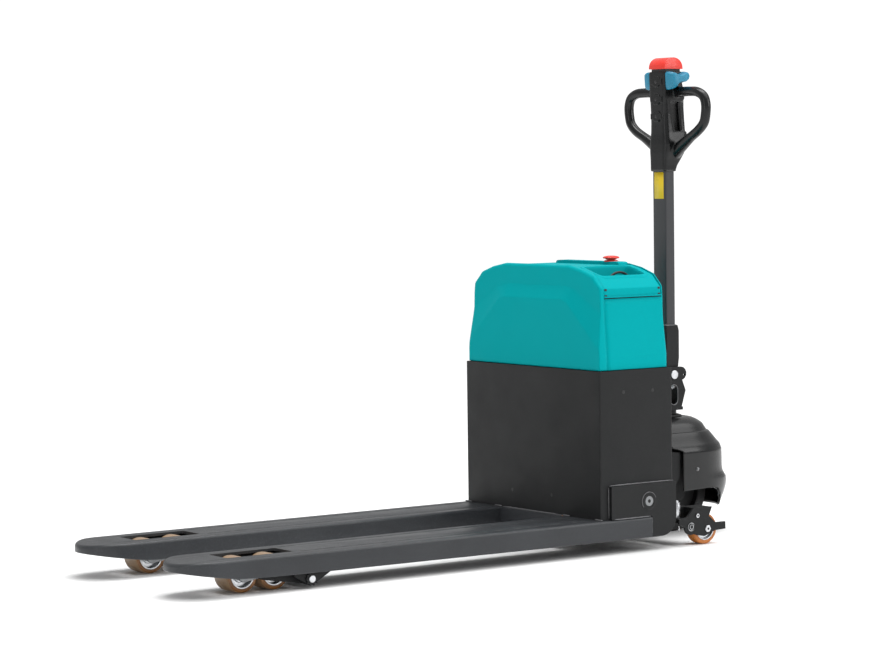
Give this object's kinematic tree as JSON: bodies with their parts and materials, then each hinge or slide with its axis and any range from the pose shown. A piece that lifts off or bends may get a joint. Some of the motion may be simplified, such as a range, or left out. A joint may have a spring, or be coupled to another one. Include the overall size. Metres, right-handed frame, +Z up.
{
  "type": "electric pallet truck",
  "caption": "Battery-powered walkie pallet truck with forks on rocking load wheels, a moulded cover, a steered drive wheel and an upright tiller.",
  "frame": {"origin": "on the floor, at the centre of the bounding box's underside", "axes": "+X from the fork tips towards the tiller, +Y to the right-hand side of a driver who looks at the fork tips, +Z up"},
  "size_m": [1.735, 0.561, 1.196],
  "materials": {
    "frame_steel": "fine-textured powder coat, anthracite",
    "teal_cover": "moulded plastic, satin, teal",
    "black_moulding": "moulded plastic, semi-gloss, near black",
    "black_plastic": "satin black plastic",
    "black_rubber": "black cable sheath",
    "motor_paint": "black motor paint",
    "red_plastic": "semi-gloss red",
    "blue_plastic": "satin petrol blue",
    "zinc": "zinc-plated or turned steel",
    "amber_tyre": "amber polyurethane",
    "black_tyre": "dark polyurethane tread",
    "battery_case": "grey battery case"
  },
  "bodies": {
    "drive_head": {"head_frame": "frame_steel", "lift_cylinder": "frame_steel", "hydraulic_unit": "motor_paint", "oil_tank": "black_plastic", "motor_cover": "black_moulding", "steering_bearing": "zinc", "castor_bracket_left": "frame_steel", "castor_bracket_right": "frame_steel", "spring_post_left": "zinc", "spring_post_right": "zinc"},
    "castor_left": {"castor_tyre_left": "amber_tyre", "castor_hub_left": "zinc"},
    "castor_right": {"castor_tyre_right": "amber_tyre", "castor_hub_right": "zinc"},
    "fork_frame": {"fork_left": "frame_steel", "fork_right": "frame_steel", "load_arm_bracket_left": "frame_steel", "load_arm_bracket_right": "frame_steel", "battery_box": "frame_steel", "side_plate_left": "frame_steel", "side_plate_right": "frame_steel", "heel_plate": "frame_steel", "lift_ram": "zinc", "battery_pack": "battery_case", "controller": "black_plastic", "front_panel": "teal_cover", "cover_shell": "teal_cover"},
    "lid": {"lid": "teal_cover", "gland_block": "black_plastic", "pocket_lead": "black_rubber"},
    "stop_button": {"stop_button": "red_plastic"},
    "rocker": {"rocker": "frame_steel"},
    "push_rod_left": {"push_rod_left": "zinc"},
    "push_rod_right": {"push_rod_right": "zinc"},
    "load_arm_left": {"load_arm_left": "frame_steel"},
    "load_arm_right": {"load_arm_right": "frame_steel"},
    "bogie_left": {"bogie_left": "zinc"},
    "bogie_right": {"bogie_right": "zinc"},
    "steer_unit": {"drive_unit": "frame_steel", "drive_motor": "motor_paint", "tiller_yoke": "frame_steel"},
    "drive_wheel": {"drive_tyre": "black_tyre", "drive_hub": "frame_steel"},
    "tiller": {"tiller_bracket": "frame_steel", "tiller_pin": "zinc", "tiller_tube": "frame_steel", "tiller_head": "black_moulding"},
    "throttle": {"throttle": "blue_plastic"},
    "belly_button": {"belly_button": "red_plastic"},
    "head_button_1": {"head_button_1": "black_plastic"},
    "head_button_2": {"head_button_2": "black_plastic"},
    "head_button_3": {"head_button_3": "black_plastic"},
    "load_wheel_left_front": {"load_tyre_left_front": "amber_tyre", "load_hub_left_front": "zinc"},
    "load_wheel_left_rear": {"load_tyre_left_rear": "amber_tyre", "load_hub_left_rear": "zinc"},
    "load_wheel_right_front": {"load_tyre_right_front": "amber_tyre", "load_hub_right_front": "zinc"},
    "load_wheel_right_rear": {"load_tyre_right_rear": "amber_tyre", "load_hub_right_rear": "zinc"}
  },
  "joints": [
    {"name": "lift", "type": "slide", "parent": "drive_head", "child": "fork_frame", "axis": [0, 0, 1], "range_m": [0, 0.115]},
    {"name": "rocker_turn", "type": "hinge", "parent": "fork_frame", "child": "rocker", "pos_m": [0.4235, 0, 0.121], "axis": [0, 1, 0], "range_deg": [0, 47.4]},
    {"name": "push_left", "type": "slide", "parent": "fork_frame", "child": "push_rod_left", "axis": [-1, 0, 0], "range_m": [0, 0.0458]},
    {"name": "arm_swing_left", "type": "hinge", "parent": "fork_frame", "child": "load_arm_left", "pos_m": [-0.5405, -0.2005, 0.022], "axis": [0, -1, 0], "range_deg": [0, 65.9]},
    {"name": "bogie_level_left", "type": "hinge", "parent": "load_arm_left", "child": "bogie_left", "pos_m": [-0.655, -0.2005, 0.04], "axis": [0, -1, 0], "range_deg": [-65.9, 0]},
    {"name": "load_wheel_left_front_spin", "type": "hinge", "parent": "bogie_left", "child": "load_wheel_left_front", "pos_m": [-0.6965, -0.2005, 0.04], "axis": [0, 1, 0], "continuous": true},
    {"name": "load_wheel_left_rear_spin", "type": "hinge", "parent": "bogie_left", "child": "load_wheel_left_rear", "pos_m": [-0.6135, -0.2005, 0.04], "axis": [0, 1, 0], "continuous": true},
    {"name": "castor_left_spin", "type": "hinge", "parent": "drive_head", "child": "castor_left", "pos_m": [0.6085, -0.254, 0.038], "axis": [0, 1, 0], "continuous": true},
    {"name": "push_right", "type": "slide", "parent": "fork_frame", "child": "push_rod_right", "axis": [-1, 0, 0], "range_m": [0, 0.0458]},
    {"name": "arm_swing_right", "type": "hinge", "parent": "fork_frame", "child": "load_arm_right", "pos_m": [-0.5405, 0.2005, 0.022], "axis": [0, -1, 0], "range_deg": [0, 65.9]},
    {"name": "bogie_level_right", "type": "hinge", "parent": "load_arm_right", "child": "bogie_right", "pos_m": [-0.655, 0.2005, 0.04], "axis": [0, -1, 0], "range_deg": [-65.9, 0]},
    {"name": "load_wheel_right_front_spin", "type": "hinge", "parent": "bogie_right", "child": "load_wheel_right_front", "pos_m": [-0.6965, 0.2005, 0.04], "axis": [0, 1, 0], "continuous": true},
    {"name": "load_wheel_right_rear_spin", "type": "hinge", "parent": "bogie_right", "child": "load_wheel_right_rear", "pos_m": [-0.6135, 0.2005, 0.04], "axis": [0, 1, 0], "continuous": true},
    {"name": "castor_right_spin", "type": "hinge", "parent": "drive_head", "child": "castor_right", "pos_m": [0.6085, 0.254, 0.038], "axis": [0, 1, 0], "continuous": true},
    {"name": "steering", "type": "hinge", "parent": "drive_head", "child": "steer_unit", "pos_m": [0.7095, 0, 0.23], "axis": [0, 0, 1], "range_deg": [-90, 90]},
    {"name": "drive_wheel_spin", "type": "hinge", "parent": "steer_unit", "child": "drive_wheel", "pos_m": [0.7095, 0, 0.105], "axis": [0, 1, 0], "continuous": true},
    {"name": "tiller_tilt", "type": "hinge", "parent": "steer_unit", "child": "tiller", "pos_m": [0.7055, 0, 0.398], "axis": [0, 1, 0], "range_deg": [0, 80], "stiffness_Nm_per_rad": 30, "springref_deg": -34.38},
    {"name": "throttle_turn", "type": "hinge", "parent": "tiller", "child": "throttle", "pos_m": [0.7195, 0, 1.143], "axis": [0, 1, 0], "range_deg": [-20, 20], "stiffness_Nm_per_rad": 0.6},
    {"name": "belly_press", "type": "slide", "parent": "tiller", "child": "belly_button", "axis": [0, 0, -1], "range_m": [0, 0.005], "stiffness_N_per_m": 1200, "springref_m": -0.003},
    {"name": "head_button_1_press", "type": "slide", "parent": "tiller", "child": "head_button_1", "axis": [1, 0, 0], "range_m": [0, 0.002], "stiffness_N_per_m": 800, "springref_m": -0.002},
    {"name": "head_button_2_press", "type": "slide", "parent": "tiller", "child": "head_button_2", "axis": [1, 0, 0], "range_m": [0, 0.002], "stiffness_N_per_m": 800, "springref_m": -0.002},
    {"name": "head_button_3_press", "type": "slide", "parent": "tiller", "child": "head_button_3", "axis": [1, 0, 0], "range_m": [0, 0.002], "stiffness_N_per_m": 800, "springref_m": -0.002},
    {"name": "stop_press", "type": "slide", "parent": "fork_frame", "child": "stop_button", "axis": [0, 0, -1], "range_m": [0, 0.004]},
    {"name": "lid_open", "type": "hinge", "parent": "fork_frame", "child": "lid", "pos_m": [0.3985, 0.2545, 0.6363], "axis": [-1, 0, 0], "range_deg": [0, 95]}
  ],
  "couplings": [
    {"joint": "rocker_turn", "follows": "lift", "rad_per_m": 7.1634},
    {"joint": "push_left", "follows": "lift", "ratio": 0.3965},
    {"joint": "arm_swing_left", "follows": "lift", "rad_per_m": 9.9711},
    {"joint": "bogie_level_left", "follows": "lift", "rad_per_m": -9.9711},
    {"joint": "push_right", "follows": "lift", "ratio": 0.3965},
    {"joint": "arm_swing_right", "follows": "lift", "rad_per_m": 9.9711},
    {"joint": "bogie_level_right", "follows": "lift", "rad_per_m": -9.9711}
  ]
}
